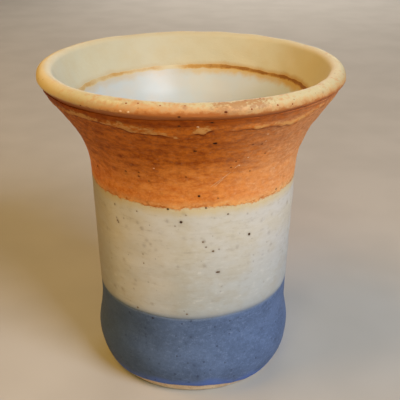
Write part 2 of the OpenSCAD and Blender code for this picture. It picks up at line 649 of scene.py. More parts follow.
class Graph:
    """Node tree of one finish, on object coordinates in millimetres."""

    NOISE_SHIFT = (1.0, 0.7, 1.3)
    SPECK_SHIFT = (1.0, 0.6, 1.7)
    SPECK_WOBBLE = 0.9
    LEAST_SPECK = 0.4

    def __init__(self, name: str) -> None:
        """Start an empty material.

        Args:
            name: Name of the material.
        """
        self.material = bpy.data.materials.new(name)
        self.material.use_nodes = True
        self.tree = self.material.node_tree
        self.tree.nodes.clear()
        place = self.node("ShaderNodeTexCoord").outputs["Object"]
        self.place = self.vector("MULTIPLY", place, (1 / MM,) * 3)

    def node(
        self, kind: str, settings: Optional[dict] = None, inputs: Optional[dict] = None,
    ) -> bpy.types.Node:
        """Add a node.

        Args:
            kind: Type of the node.
            settings: Properties that are set first.
            inputs: Values or links of its sockets, by name or index.

        Returns:
            The node.
        """
        made = self.tree.nodes.new(kind)
        for key, value in (settings or {}).items():
            setattr(made, key, value)
        for key, value in (inputs or {}).items():
            self.feed(made.inputs[key], value)
        return made

    def feed(self, socket: bpy.types.NodeSocket, value: object) -> None:
        """Link a value to a socket, or set it there.

        Args:
            socket: The input socket.
            value: A shader value, an output socket or a constant.
        """
        if isinstance(value, Value):
            value = value.socket
        if isinstance(value, bpy.types.NodeSocket):
            self.tree.links.new(value, socket)
        else:
            socket.default_value = value

    def math(self, operation: str, first: Number, second: Number = 0.0) -> Value:
        """Add a Math node."""
        made = self.node("ShaderNodeMath", {"operation": operation}, {0: first, 1: second})
        return Value(self, made.outputs[0])

    def vector(self, operation: str, *parts: object) -> bpy.types.NodeSocket:
        """Add a Vector Math node."""
        made = self.node("ShaderNodeVectorMath", {"operation": operation}, dict(enumerate(parts)))
        return made.outputs["Vector"]

    def mix(self, share: Number, first: Paint, second: Paint) -> bpy.types.NodeSocket:
        """Mix two colours, by the share of the second."""
        made = self.node("ShaderNodeMix", {"data_type": "RGBA"}, {0: share, 6: first, 7: second})
        return made.outputs[2]

    def noise(
        self, size: float, detail: float = 2.0, rough: float = 0.5,
        stretch: tuple[float, float, float] = (1, 1, 1), shift: float = 0.0,
    ) -> Value:
        """Add soft noise.

        Args:
            size: Size of its swells, in millimetres.
            detail: Number of finer layers.
            rough: Strength of the finer layers.
            stretch: How much longer the swells are along each axis.
            shift: Offset that makes two noises differ.

        Returns:
            The noise, from about -0.5 to 0.5.
        """
        squeeze = tuple(1 / (size * part) for part in stretch)
        offset = tuple(shift * part for part in self.NOISE_SHIFT)
        place = self.vector("MULTIPLY_ADD", self.place, squeeze, offset)
        made = self.node(
            "ShaderNodeTexNoise", None, {"Vector": place, "Scale": 1.0, "Detail": detail, "Roughness": rough})
        return Value(self, made.outputs["Fac"]) - 0.5

    def specks(
        self, spacing: float, radius: float, share: float, soft: float = 0.4, shift: float = 0.0,
    ) -> Value:
        """Scatter uneven specks.

        Args:
            spacing: Distance between places where a speck may lie, in millimetres.
            radius: Radius of the largest speck, in millimetres.
            share: Share of the places that hold a speck.
            soft: Softness of the edge, as a share of the radius.
            shift: Offset that makes two scatters differ.

        Returns:
            1 on a speck and 0 off it.
        """
        wobble = self.node(
            "ShaderNodeTexNoise", None,
            {"Vector": self.place, "Scale": self.SPECK_WOBBLE / radius, "Detail": 1.0})
        bent = self.vector("MULTIPLY_ADD", wobble.outputs["Color"], (radius,) * 3, self.place)
        offset = tuple(shift * part for part in self.SPECK_SHIFT)
        place = self.vector("MULTIPLY_ADD", bent, (1 / spacing,) * 3, offset)
        cells = self.node("ShaderNodeTexVoronoi", {"feature": "F1"}, {"Vector": place, "Scale": 1.0})
        pick = self.node("ShaderNodeSeparateColor", None, {"Color": cells.outputs["Color"]})
        size = Value(self, pick.outputs["Green"]) * (1 - self.LEAST_SPECK) + self.LEAST_SPECK
        gap = Value(self, cells.outputs["Distance"]) * (spacing / radius)
        dot = (size - gap).step(0.0, soft)
        return dot * (Value(self, pick.outputs["Red"]) > 1 - share)

    def attribute(self, name: str) -> Value:
        """Read a value that the piece keeps at its points."""
        made = self.node("ShaderNodeAttribute", {"attribute_name": name})
        return Value(self, made.outputs["Fac"])

    def stains(self, grain: Value) -> Value:
        """Stains that the piece keeps at its points, broken up by a grain."""
        stain = self.attribute("stain")
        return (stain + grain * stain).step(0.0, 1.0)

    def surface(
        self, colour: Paint, rough: Number, height: Optional[Value] = None, relief: float = 0.05,
        specular: float = 0.5,
    ) -> bpy.types.Material:
        """Finish the material.

        Args:
            colour: Base colour.
            rough: Roughness.
            height: Fine relief, about 1 from its lowest to its highest.
            relief: Height of the relief, in millimetres.
            specular: Strength of the mirror part.

        Returns:
            The material.
        """
        shader = self.node(
            "ShaderNodeBsdfPrincipled", None,
            {"Base Color": colour, "Roughness": rough, "Specular IOR Level": specular})
        if height is not None:
            bump = self.node(
                "ShaderNodeBump", None, {"Strength": 1.0, "Distance": relief * MM, "Height": height})
            self.feed(shader.inputs["Normal"], bump.outputs["Normal"])
        self.node("ShaderNodeOutputMaterial", None, {"Surface": shader.outputs["BSDF"]})
        return self.material


class Finish(Protocol):
    """What every finish can do."""

    def material(self) -> bpy.types.Material:
        """Build the material."""


@dataclass(frozen=True)
class OrangeGlaze:
    """Iron glaze on the collar: brushed, browner towards the lip, with cream run down from the lip, a painted
    sheen on its right side and partly painted shade under the groove.
    """

    bright: Colour = paint(236, 150, 72)
    deep: Colour = paint(202, 104, 34)
    brown: Colour = paint(212, 117, 34)
    umber: Colour = paint(150, 68, 12)
    dark: Colour = paint(118, 46, 3)
    tan: Colour = paint(234, 168, 112)
    rust: Colour = paint(172, 82, 20)
    cream: Colour = paint(218, 158, 90)
    straw: Colour = paint(222, 184, 122)
    soot: Colour = paint(70, 28, 6)

    def material(self) -> bpy.types.Material:
        """Build the glaze.

        Returns:
            The material.
        """
        g = Graph("orange_glaze")
        low = g.attribute("from_start")
        high = g.attribute("from_end")
        cream = g.attribute("cream")
        under = g.attribute("under")
        pale = g.attribute("pale")
        streak = g.noise(size=2.2, detail=3, stretch=(4, 4, 1))
        brush = g.noise(size=0.6, detail=3, rough=0.6, stretch=(2.4, 2.4, 1), shift=4.0)
        dab = g.noise(size=1.5, detail=3, rough=0.65, stretch=(1.6, 1.6, 1), shift=7.0)
        fleck = g.noise(size=0.9, detail=3, rough=0.65, stretch=(1.8, 1.8, 1), shift=17.0)
        cloud = g.noise(size=9.0, detail=3, rough=0.55, stretch=(1.8, 1.8, 1), shift=9.0)
        grain = g.noise(size=0.45, rough=0.6, shift=2.0)
        dusk = (low + cloud * 8 + streak * 8).step(5.5, 19.5)
        tone = streak * 0.7 + dab + brush * 0.5 + grain * 0.6
        colour = g.mix(tone.step(-0.4, 0.4), self.bright, self.deep)
        colour = g.mix(dusk, colour, g.mix(tone.step(-0.36, 0.36), self.brown, self.umber))
        blot = dab * 0.9 + fleck * 0.6 + streak * 0.3
        colour = g.mix(blot.step(0.08, 0.34) * (dusk * 0.62 + 0.14), colour, self.dark)
        light = (fleck + brush * 0.6 + grain * 0.6).step(0.0, 0.42)
        # Painted sheen: on the pale side the glaze turns tan on the right, and the darker bands below are
        # weakened there.
        painted_sheen = pale * (0.52 + fleck * 1.4 + dab * 0.8)
        colour = g.mix(light * (0.6 - dusk * 0.3) + painted_sheen, colour, self.tan)
        # Darker glaze just under the groove, partly painted shade of the groove.
        top = (high + cloud * 2 + dab).step(3.2, 1.2)
        burnt = g.mix(dab.step(-0.08, 0.1) * 0.7, self.umber, self.dark)
        colour = g.mix(top * (0.8 - pale * 0.35), colour, burnt)
        shade = (under + grain * 0.6 + dab).step(0.25, 0.9)
        colour = g.mix(shade * (0.75 - pale * 0.6), colour, self.dark)
        flow = cream + grain + fleck * 2.6 + dab * 2.2
        colour = g.mix(flow.step(0.1, 1.0) * cream.step(0.0, 0.3) * 0.8, colour, self.cream)
        edge = low + grain * 2.0 + fleck * 1.6
        colour = g.mix(edge.step(2.8, 0.6) * (light * 0.6 + 0.25), colour, self.straw)
        colour = g.mix(edge.step(1.0, 0.1) * dab.step(-0.1, 0.1) * 0.75, colour, self.rust)
        colour = g.mix(edge.step(0.15, -0.3) * 0.85, colour, self.straw)
        colour = g.mix(g.specks(spacing=2.4, radius=0.24, share=0.25, soft=0.5) * 0.7, colour, self.soot)
        colour = g.mix(g.stains(grain) * 0.55, colour, self.soot)
        rough = brush * 0.2 + 0.52 + cream * 0.1
        height = streak * 0.3 + dab * 0.4 + brush * 0.2 + grain * 0.3
        return g.surface(colour, rough, height, relief=0.09, specular=0.07)


@dataclass(frozen=True)
class WhiteGlaze:
    """Grey-white glaze round the waist: creamy above, greyer below, faintly brushed and speckled, with
    painted light on its front left and painted shade on its left.
    """

    ivory: Colour = paint(207, 200, 188)
    oat: Colour = paint(204, 194, 174)
    ash: Colour = paint(181, 182, 178)
    fog: Colour = paint(178, 175, 165)
    thin: Colour = paint(166, 154, 138)
    chalk: Colour = paint(222, 216, 204)
    straw: Colour = paint(212, 186, 132)
    orange: Colour = paint(202, 122, 52)
    speck: Colour = paint(96, 74, 54)
    stain: Colour = paint(122, 98, 74)
    deep: Colour = paint(146, 134, 114)
    pale: Colour = paint(222, 214, 206)
    lilac: Colour = paint(152, 142, 146)
    blush: Colour = paint(196, 154, 118)
    mist: Colour = paint(122, 132, 146)

    def material(self) -> bpy.types.Material:
        """Build the glaze.

        Returns:
            The material.
        """
        g = Graph("white_glaze")
        low = g.attribute("from_start")
        high = g.attribute("from_end")
        stroke = g.noise(size=1.2, detail=4, rough=0.6, stretch=(9, 9, 1))
        fine = g.noise(size=0.5, detail=3, stretch=(5, 5, 1), shift=5.0)
        cloud = g.noise(size=9.0, detail=3, stretch=(1.6, 1.6, 1), shift=3.0)
        patch = g.noise(size=1.8, detail=3, rough=0.6, stretch=(1.6, 1.6, 1), shift=13.0)
        grain = g.noise(size=0.5, rough=0.6, shift=7.0)
        tint = (cloud + patch * 0.5).step(-0.16, 0.18)
        rise = (low + cloud * 8).step(2.0, 34.0)
        colour = g.mix(rise, g.mix(tint, self.ash, self.fog), g.mix(tint, self.ivory, self.oat))
        worn = stroke * 0.8 + fine * 0.6 + patch * 0.8 + grain * 0.4
        # Painted light: the glaze is lightened towards the front left.
        colour = g.mix(g.attribute("pale") * 0.4, colour, self.pale)
        colour = g.mix(worn.step(0.0, 0.5) * 0.5, colour, self.thin)
        colour = g.mix(worn.step(-0.05, -0.45) * 0.4, colour, self.chalk)
        dots = g.specks(spacing=5.0, radius=1.2, share=0.4, soft=0.9, shift=3.0)
        colour = g.mix(dots * 0.36, colour, self.lilac)
        dots = g.specks(spacing=6.0, radius=0.9, share=0.3, soft=0.9, shift=8.0)
        colour = g.mix(dots * 0.34, colour, self.blush)
        dots = g.specks(spacing=2.6, radius=0.6, share=0.22, soft=0.9, shift=6.0)
        colour = g.mix(dots * 0.4, colour, self.speck)
        dots = g.specks(spacing=1.8, radius=0.36, share=0.18, soft=0.7, shift=1.0)
        colour = g.mix(dots * 0.6, colour, self.speck)
        colour = g.mix(g.stains(grain) * 0.9, colour, self.stain)
        edge = high + grain * 2.6 + patch * 1.4
        colour = g.mix((high + cloud * 4 + grain * 2).step(4.0, 0.0) * 0.75, colour, self.straw)
        colour = g.mix(edge.step(0.5, -0.3) * 0.9, colour, self.orange)
        colour = g.mix((low + grain + cloud * 3).step(5.0, 0.0) * 0.25, colour, self.mist)
        colour = g.mix((low + grain * 0.5).step(1.9, -0.4) * 0.95, colour, self.mist)
        # Painted shade: the glaze is darkened towards the left side.
        colour = g.mix(g.attribute("deep") * 0.5, colour, self.deep)
        height = stroke * 0.4 + fine * 0.3 + grain * 0.3
        return g.surface(colour, fine * 0.2 + 0.54, height, specular=0.12)


@dataclass(frozen=True)
class BlueGlaze:
    """Slate-blue glaze round the foot: mottled, pooled to a stronger blue at its lower edge, and darkened on
    its left as painted shade.
    """

    slate: Colour = paint(98, 117, 152)
    dusk: Colour = paint(81, 97, 127)
    haze: Colour = paint(132, 147, 178)
    mist: Colour = paint(122, 132, 146)
    navy: Colour = paint(40, 46, 72)
    deep: Colour = paint(58, 72, 98)
    pool: Colour = paint(86, 114, 192)

    def material(self) -> bpy.types.Material:
        """Build the glaze.

        Returns:
            The material.
        """
        g = Graph("blue_glaze")
        low = g.attribute("from_start")
        high = g.attribute("from_end")
        cloud = g.noise(size=6.0, detail=3, rough=0.55, stretch=(1.5, 1.5, 1), shift=2.0)
        mottle = g.noise(size=1.2, detail=3, rough=0.6, stretch=(1.5, 1.5, 1), shift=6.0)
        grain = g.noise(size=0.5, rough=0.6, shift=1.0)
        uneven = mottle * 0.8 + grain * 0.7
        colour = g.mix((cloud * 0.9 + uneven).step(-0.3, 0.4), self.slate, self.dusk)
        colour = g.mix((uneven * -1.0).step(0.04, 0.4) * 0.6, colour, self.haze)
        # Painted shade: the blue is darkened towards the left side of the foot.
        colour = g.mix(g.attribute("deep") * 0.6, colour, self.deep)
        colour = g.mix((low + cloud * 6).step(4.6, 0.0) * 0.8, colour, self.pool)
        colour = g.mix((high + grain * 0.4).step(1.3, -0.6) * 0.95, colour, self.mist)
        dots = g.specks(spacing=2.4, radius=0.75, share=0.36, soft=0.9, shift=7.0)
        colour = g.mix(dots * 0.5, colour, self.navy)
        dots = g.specks(spacing=1.7, radius=0.5, share=0.36, soft=0.8, shift=2.0)
        colour = g.mix(dots * 0.65, colour, self.navy)
        colour = g.mix(g.stains(grain) * 0.6, colour, self.navy)
        return g.surface(colour, grain * 0.2 + 0.52, mottle * 0.5 + grain * 0.4, specular=0.08)


@dataclass(frozen=True)
class CreamGlaze:
    """Cream glaze over the lip, burnt dark under its lower edge and greyer inside the flare; painted light on
    the lip's left and the flare's right, painted shade at the back of the flare, and partly painted shade in
    the groove.
    """

    cream: Colour = paint(201, 190, 150)
    chalk: Colour = paint(220, 211, 176)
    honey: Colour = paint(202, 173, 118)
    toast: Colour = paint(184, 128, 72)
    burnt: Colour = paint(176, 98, 40)
    umber: Colour = paint(150, 72, 18)
    stone: Colour = paint(204, 196, 167)
    sand: Colour = paint(202, 188, 152)
    amber: Colour = paint(186, 146, 84)
    blush: Colour = paint(172, 122, 76)
    rust: Colour = paint(140, 74, 40)
    speck: Colour = paint(128, 74, 36)
    ember: Colour = paint(206, 140, 80)
    rose: Colour = paint(200, 150, 102)
    painted_shade_dim: Colour = paint(172, 160, 130)
    painted_light_fair: Colour = paint(232, 212, 166)
    light: Colour = paint(222, 208, 180)

    def material(self) -> bpy.types.Material:
        """Build the glaze.

        Returns:
            The material.
        """
        g = Graph("cream_glaze")
        low = g.attribute("from_start")
        high = g.attribute("from_end")
        blush = g.attribute("blush")
        warm = g.attribute("warm")
        strong = g.attribute("strong")
        cloud = g.noise(size=7.0, detail=3, rough=0.55, shift=5.0)
        mottle = g.noise(size=1.3, detail=3, rough=0.65, stretch=(1.4, 1.4, 1), shift=2.0)
        fleck = g.noise(size=0.8, detail=3, rough=0.65, stretch=(1.3, 1.3, 1), shift=12.0)
        grain = g.noise(size=0.45, rough=0.6, shift=8.0)
        uneven = cloud * 2.4 + mottle * 2.6 + grain * 1.4
        lip = low + uneven - warm * 0.6
        band = low.step(8.6, 6.8) * low.step(2.0, 2.8)
        colour = g.mix((cloud + mottle * 0.4).step(-0.2, 0.3) * 0.7, self.stone, self.sand)
        colour = g.mix((low + uneven).step(8.2, 6.0) * 0.85, colour, self.cream)
        colour = g.mix(lip.step(5.4, 2.8) * 0.9, colour, self.honey)
        smear = mottle + cloud * 0.6 + fleck * 0.4
        ruddy = g.attribute("ruddy")
        flare = low.step(7.0, 9.0)
        colour = g.mix((smear + ruddy * 0.16).step(0.02, 0.32) * band * 0.8, colour, self.rose)
        colour = g.mix(smear.step(-0.05, -0.3) * band * 0.6, colour, self.chalk)
        # Painted shade: the flare is darker towards the back.
        colour = g.mix(g.attribute("painted_shade_dim") * flare * 0.28, colour, self.painted_shade_dim)
        # Painted light: the flare is lighter on its right side.
        colour = g.mix(g.attribute("glow") * flare * 0.55, colour, self.light)
        burn = low - g.attribute("scorch") * 1.3
        ragged = burn + mottle * 5.0 + cloud * 4.0 + fleck * 2.0
        colour = g.mix(ragged.step(4.4, 2.6) * (ruddy * 0.3 + 0.6), colour, self.ember)
        colour = g.mix((ragged + grain * 2).step(2.8, 1.6) * 0.7, colour, self.toast)
        # Painted light: the lip is paler on its left side.
        colour = g.mix(g.attribute("painted_light_fair") * band * 0.8, colour, self.painted_light_fair)
        colour = g.mix((burn + mottle * 2.4 + cloud).step(2.9, 1.5) * 0.9, colour, self.burnt)
        # Dark glaze at the bottom of the groove, partly painted shade of the groove.
        colour = g.mix((low + mottle * 1.2).step(1.3, 0.0) * (warm * 0.6 + 0.15), colour, self.umber)
        patchy = blush * (1 + mottle * 4 + fleck * 3)
        colour = g.mix(patchy.step(0.25, 1.0) * 0.8, colour, self.blush)
        dots = g.specks(spacing=1.2, radius=0.45, share=0.6, soft=0.7, shift=14.0)
        colour = g.mix(dots * blush.step(0.1, 0.6) * 0.75, colour, self.rust)
        colour = g.mix(g.stains(grain) * 0.6, colour, self.speck)
        glow = (high + cloud * 2 + grain).step(1.7, 0.0) * strong
        colour = g.mix(glow * 0.75, colour, self.amber)
        dots = g.specks(spacing=1.7, radius=0.4, share=0.3, soft=0.7, shift=4.0)
        colour = g.mix(dots * band * 0.7, colour, self.speck)
        dots = g.specks(spacing=3.6, radius=0.9, share=0.4, soft=0.9, shift=9.0)
        colour = g.mix(dots * band * 0.45, colour, self.rust)
        height = mottle * 0.4 + fleck * 0.3 + grain * 0.3
        return g.surface(colour, mottle * 0.2 + 0.54, height, relief=0.12, specular=0.25)


@dataclass(frozen=True)
class RustGlaze:
    """Iron line round the throat: dark rust in places, and almost gone in others."""

    rust: Colour = paint(142, 92, 38)
    amber: Colour = paint(188, 142, 72)
    straw: Colour = paint(204, 192, 158)
    gold: Colour = paint(200, 164, 98)

    def material(self) -> bpy.types.Material:
        """Build the glaze.

        Returns:
            The material.
        """
        g = Graph("rust_glaze")
        strong = g.attribute("strong")
        top = g.attribute("from_start")
        low = g.attribute("from_end")
        cloud = g.noise(size=3.0, detail=3, rough=0.6, shift=3.0)
        grain = g.noise(size=0.6, rough=0.6, shift=6.0)
        wander = cloud * 0.7 + grain * 0.4
        line = (top + wander * 0.5).step(-0.1, 0.25) * (low + wander).step(-0.25, 0.8)
        burn = strong * line + wander * strong
        colour = g.mix(strong, self.straw, self.gold)
        colour = g.mix(burn.step(0.08, 0.5), colour, self.amber)
        colour = g.mix(burn.step(0.45, 0.95), colour, self.rust)
        return g.surface(colour, grain * 0.2 + 0.5, cloud * 0.5 + grain * 0.3, specular=0.3)


@dataclass(frozen=True)
class LinerGlaze:
    """Satin pale glaze inside, faintly blue, and straw-coloured where it meets the iron line."""

    milk: Colour = paint(196, 195, 188)
    sky: Colour = paint(191, 196, 194)
    cool: Colour = paint(206, 214, 222)
    straw: Colour = paint(200, 166, 102)
    speck: Colour = paint(150, 140, 122)

    def material(self) -> bpy.types.Material:
        """Build the glaze.

        Returns:
            The material.
        """
        g = Graph("liner_glaze")
        top = g.attribute("from_start")
        strong = g.attribute("strong")
        cloud = g.noise(size=7.0, detail=3, shift=4.0)
        drip = g.noise(size=3.0, shift=9.0)
        colour = g.mix(cloud.step(-0.15, 0.15), self.milk, self.sky)
        colour = g.mix(g.attribute("cool") * 0.6, colour, self.cool)
        glow = (top + drip * 3 + cloud * 2).step(3.2, 0.3) * (strong * 0.9 + 0.1)
        colour = g.mix(glow, colour, self.straw)
        dots = g.specks(spacing=3.2, radius=0.3, share=0.2, soft=0.6, shift=5.0)
        colour = g.mix(dots * 0.4, colour, self.speck)
        return g.surface(colour, drip * 0.08 + 0.32, cloud * 0.7, relief=0.08, specular=0.25)


@dataclass(frozen=True)
class BareClay:
    """Bare fired stoneware: sandy, matt and a little toasted."""

    sand: Colour = paint(238, 216, 186)
    toast: Colour = paint(218, 184, 148)
    grog: Colour = paint(120, 84, 58)

    def material(self) -> bpy.types.Material:
        """Build the clay.

        Returns:
            The material.
        """
        g = Graph("bare_clay")
        cloud = g.noise(size=5.0, detail=3, rough=0.55)
        grain = g.noise(size=0.4, rough=0.6, shift=3.0)
        colour = g.mix((cloud + grain * 0.5).step(-0.1, 0.2), self.sand, self.toast)
        colour = g.mix(g.specks(spacing=1.6, radius=0.28, share=0.3) * 0.7, colour, self.grog)
        return g.surface(colour, grain * 0.15 + 0.855, grain * 0.7 + cloud * 0.3, relief=0.12, specular=0.3)


@dataclass(frozen=True)
class IronSpot:
    """Iron that has burnt through the glaze: near black where strong, brown or slate where faint."""

    black: Colour = paint(44, 14, 4)
    brown: Colour = paint(130, 108, 82)
    russet: Colour = paint(140, 64, 12)
    slate: Colour = paint(52, 60, 82)

    def material(self) -> bpy.types.Material:
        """Build the spot.

        Returns:
            The material.
        """
        g = Graph("iron_spot")
        grain = g.noise(size=0.35, rough=0.6)
        faint = g.mix(g.attribute("warm"), self.brown, self.russet)
        faint = g.mix(g.attribute("cool"), faint, self.slate)
        colour = g.mix((g.attribute("burn") + grain * 0.5).step(0.2, 1.1), faint, self.black)
        return g.surface(colour, grain * 0.25 + 0.475, grain, relief=0.04, specular=0.1)


@dataclass(frozen=True)
class PaleMark:
    """Pale colour of the small glossy domes, a painted highlight at each glint, and of the scraped marks on
    the collar.
    """

    name: str = "painted_glint"
    shell: Colour = paint(238, 206, 168)
    peach: Colour = paint(222, 160, 106)

    def material(self) -> bpy.types.Material:
        """Build the mark.

        Returns:
            The material.
        """
        g = Graph(self.name)
        grain = g.noise(size=0.5, rough=0.6)
        colour = g.mix(grain.step(-0.15, 0.2), self.shell, self.peach)
        return g.surface(colour, grain * 0.2 + 0.3, grain, relief=0.03)


class Layer(Enum):
    """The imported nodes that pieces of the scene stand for, each with its material slot."""

    CLAY = ("clay_body", "clay")
    FOOT = ("foot_glaze", "blue_glaze")
    WAIST = ("waist_glaze", "white_glaze")
    COLLAR = ("collar_glaze", "orange_glaze")
    LIP = ("lip_glaze", "cream_glaze")
    IRON = ("iron_line", "rust_glaze")
    LINER = ("liner_glaze", "liner_glaze")

    @property
    def node(self) -> str:
        """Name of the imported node."""
        return self.value[0]

    @property
    def slot(self) -> str:
        """Name of the material slot."""
        return self.value[1]


class Piece:
    """A piece of the vase, which is built, then dressed and given its place in the frame."""

    layer: Optional[Layer]
    piece: bpy.types.Object

    def build(self) -> None:
        """Model the piece."""
        raise NotImplementedError

    def dress(self, finish: Finish) -> None:
        """Give the piece its finish and its place in the frame.

        Args:
            finish: The finish of all its faces.
        """
        self.piece.data.materials.clear()
        self.piece.data.materials.append(finish.material())
        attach(self.piece, BODY)
        if self.layer is not None:
            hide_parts(self.layer.node)
            self.layer.slot
        LOG.info("%s: %d faces", self.piece.name, len(self.piece.data.polygons))


@dataclass(frozen=True)
class Side:
    """One side of a coat that differs from the rest, noted for the coat's finish."""

    note: str
    middle: float
    spread: float

    def at(self, theta: Array) -> Array:
        """Share of the difference at each angle, from 0 to 1."""
        return ease(np.cos(theta - self.middle), math.cos(self.spread), 1.0)


@dataclass(frozen=True)
class Edge:
    """Wavy edge of a coat, at a distance along the skin."""

    place: float
    waves: tuple[Wave, ...] = ()
    tilt: float = 0.0
    high_side: float = 0.0
    hump: float = 0.0
    hump_side: Side = Side("hump", -1.66, 0.6)

    def at(self, theta: Array) -> Array:
        """Follow the edge round the vase.

        Args:
            theta: Angle of each place.

        Returns:
            The distance of the edge along the skin, at each place.
        """
        total = self.place + self.tilt * np.cos(theta - self.high_side)
        total = total + self.hump * self.hump_side.at(theta)
        for wave in self.waves:
            total = total + wave(theta)
        return total


@dataclass(frozen=True)
class Iron:
    """How strongly the iron shows round the throat, by angle."""

    stops: tuple[tuple[float, float], ...] = (
        (-2.6, 0.4), (-1.6, 0.5), (-0.6, 0.7), (0.2, 0.95), (0.5, 1.0), (0.85, 0.85),
        (1.15, 0.75), (1.4, 0.66), (1.55, 0.55), (1.68, 0.34), (1.78, 0.18), (1.92, 0.16),
        (2.06, 0.26), (2.3, 0.36), (2.6, 0.32), (3.0, 0.3),
    )
    ripple: Wave = Wave(31, 0.07, 5, 22)

    def at(self, theta: Array) -> Array:
        """Read the iron.

        Args:
            theta: Angle of each place.

        Returns:
            The strength at each place, from 0 to 1.
        """
        angles, shares = np.array(self.stops).T
        strength = np.interp(theta, angles, shares, period=math.tau)
        return np.clip(strength + self.ripple(theta), 0, 1)


@dataclass(frozen=True)
class Roll:
    """The uneven roll of cream glaze under the lip, by places along its lower edge."""

    angles: Array
    edge: Array
    reach: Array
    cream: Array
    jag: Wave = Wave(51, 0.14, 25, 110)

    def lay(self, theta: Array, run: Array) -> tuple[Array, Array, Array]:
        """Measure places against the roll.

        Args:
            theta: Angle of each place.
            run: Distance of each place along the skin.

        Returns:
            The distance above the lower edge, and the roll's reach above it and its strength there.
        """
        edge, reach, cream = (
            np.interp(theta, self.angles, values, period=math.tau)
            for values in (self.edge, self.reach, self.cream))
        return run - (edge + self.jag(theta)), reach, cream


@dataclass(frozen=True)
class Stains:
    """Soft stains that iron leaves in the glaze: the angle, distance, radius and strength of each."""

    skin: Skin
    rows: Sequence[tuple[float, float, float, float]]
    reach: float = 3.0

    def at(self, theta: Array, run: Array) -> Array:
        """Read the stains.

        Args:
            theta: Angle of each place.
            run: Distance of each place along the skin.

        Returns:
            The strength at each place, from 0 to 1.
        """
        radius = self.skin.at(run)[0]
        total = np.zeros_like(theta)
        for middle, place, size, share in self.rows:
            near = np.abs(run - place) < self.reach * size
            across = apart(theta[near], middle) * radius[near]
            total[near] += share * np.exp(-(across ** 2 + (run[near] - place) ** 2) / size ** 2)
        return np.clip(total, 0, 1)


@dataclass
class Coat(Piece):
    """One coat of glaze: a thin closed shell over the clay, between two wavy edges."""

    name: str
    layer: Layer
    skin: Skin
    hand: Hand
    start: Edge
    end: Edge
    rows: int
    around: int
    thickness: float
    proud: float = 0.0
    roll: float = 0.5
    drop: float = 0.1
    back_rows: int = 10
    ring_depth: float = 0.01
    ring_pitch: float = 3.7
    lumps: Lumps = Lumps(11, 0.05, 16, 9)
    seat_turn: float = 0.01
    seat_rise: float = 0.3
    iron: Iron = Iron()
    stains: Optional[Stains] = None
    sides: tuple[Side, ...] = ()

    def relief(self, theta: Array, run: Array) -> Array:
        """How far the surface stands out of the plain skin, in millimetres."""
        rings = self.ring_depth * np.sin(math.tau * run / self.ring_pitch + theta)
        return rings + self.lumps(theta, run)

    def notes(self, theta: Array, run: Array) -> dict[str, Array]:
        """Work out the values that the coat's finish reads.

        Args:
            theta: Angle of each place.
            run: Distance of each place along the skin.

        Returns:
            The values by name, each with one value for every place.
        """
        kept = {"from_start": run - self.start.at(theta), "from_end": self.end.at(theta) - run}
        if self.stains:
            kept["stain"] = self.stains.at(theta, run)
        for side in self.sides:
            kept[side.note] = side.at(theta)
        return kept

    def front(self, theta: Array, run: Array) -> Array:
        """Find the coat's face.

        Args:
            theta: Angle of each place.
            run: Distance of each place along the skin.

        Returns:
            The depth of the face under the plain skin, below 0 where it stands proud.
        """
        gap = np.minimum(run - self.start.at(theta), self.end.at(theta) - run)
        fall = self.drop * (1 - np.sqrt(1 - (1 - np.clip(gap / self.roll, 0, 1)) ** 2))
        return fall - self.proud - self.relief(theta, run)

    def build(self) -> None:
        """Turn the shell and lay it on the clay between its edges."""
        share = np.concatenate([np.linspace(0, 1, self.rows), np.linspace(1, 0, self.back_rows)])
        front = np.arange(len(share)) < self.rows
        run = self.start.place + share * (self.end.place - self.start.place)
        radius, height = self.skin.at(run, np.where(front, 0, self.thickness))
        self.piece = Bench.turn(self.name, radius, height, self.around)
        theta, reach, level = Bench.polar(self.piece)
        row = np.argmin((reach[:, None] - radius) ** 2 + (level[:, None] - height) ** 2, axis=1)
        first, last = self.start.at(theta), self.end.at(theta)
        run = first + share[row] * (last - first)
        depth = np.where(front[row], self.front(theta, run), self.thickness)
        radius, height = self.skin.at(run, depth)
        Bench.move(self.piece, self.hand.settle(radius, height, theta))
        for name, values in self.notes(theta, run).items():
            Bench.note(self.piece, name, values)
        Bench.smooth(self.piece)

    def holds(self, theta: float, run: float) -> bool:
        """Whether a place lies on this coat."""
        return bool(self.start.at(theta) <= run < self.end.at(theta))

    def seat(self, theta: float, run: float) -> tuple[Vector, Vector, Vector]:
        """Find a seat for something small on the coat's face.

        Args:
            theta: Angle of the seat.
            run: Distance of the seat along the skin.

        Returns:
            Its place in metres, the level direction along the coat, and the direction out of the coat.
        """
        angles = np.array([theta, theta + self.seat_turn, theta])
        runs = np.array([run, run, run + self.seat_rise])
        radius, height = self.skin.at(runs, self.front(angles, runs))
        place, beside, above = (Vector(point) for point in self.hand.settle(radius, height, angles))
        along = (beside - place).normalized()
        return place, along, along.cross(above - place).normalized()


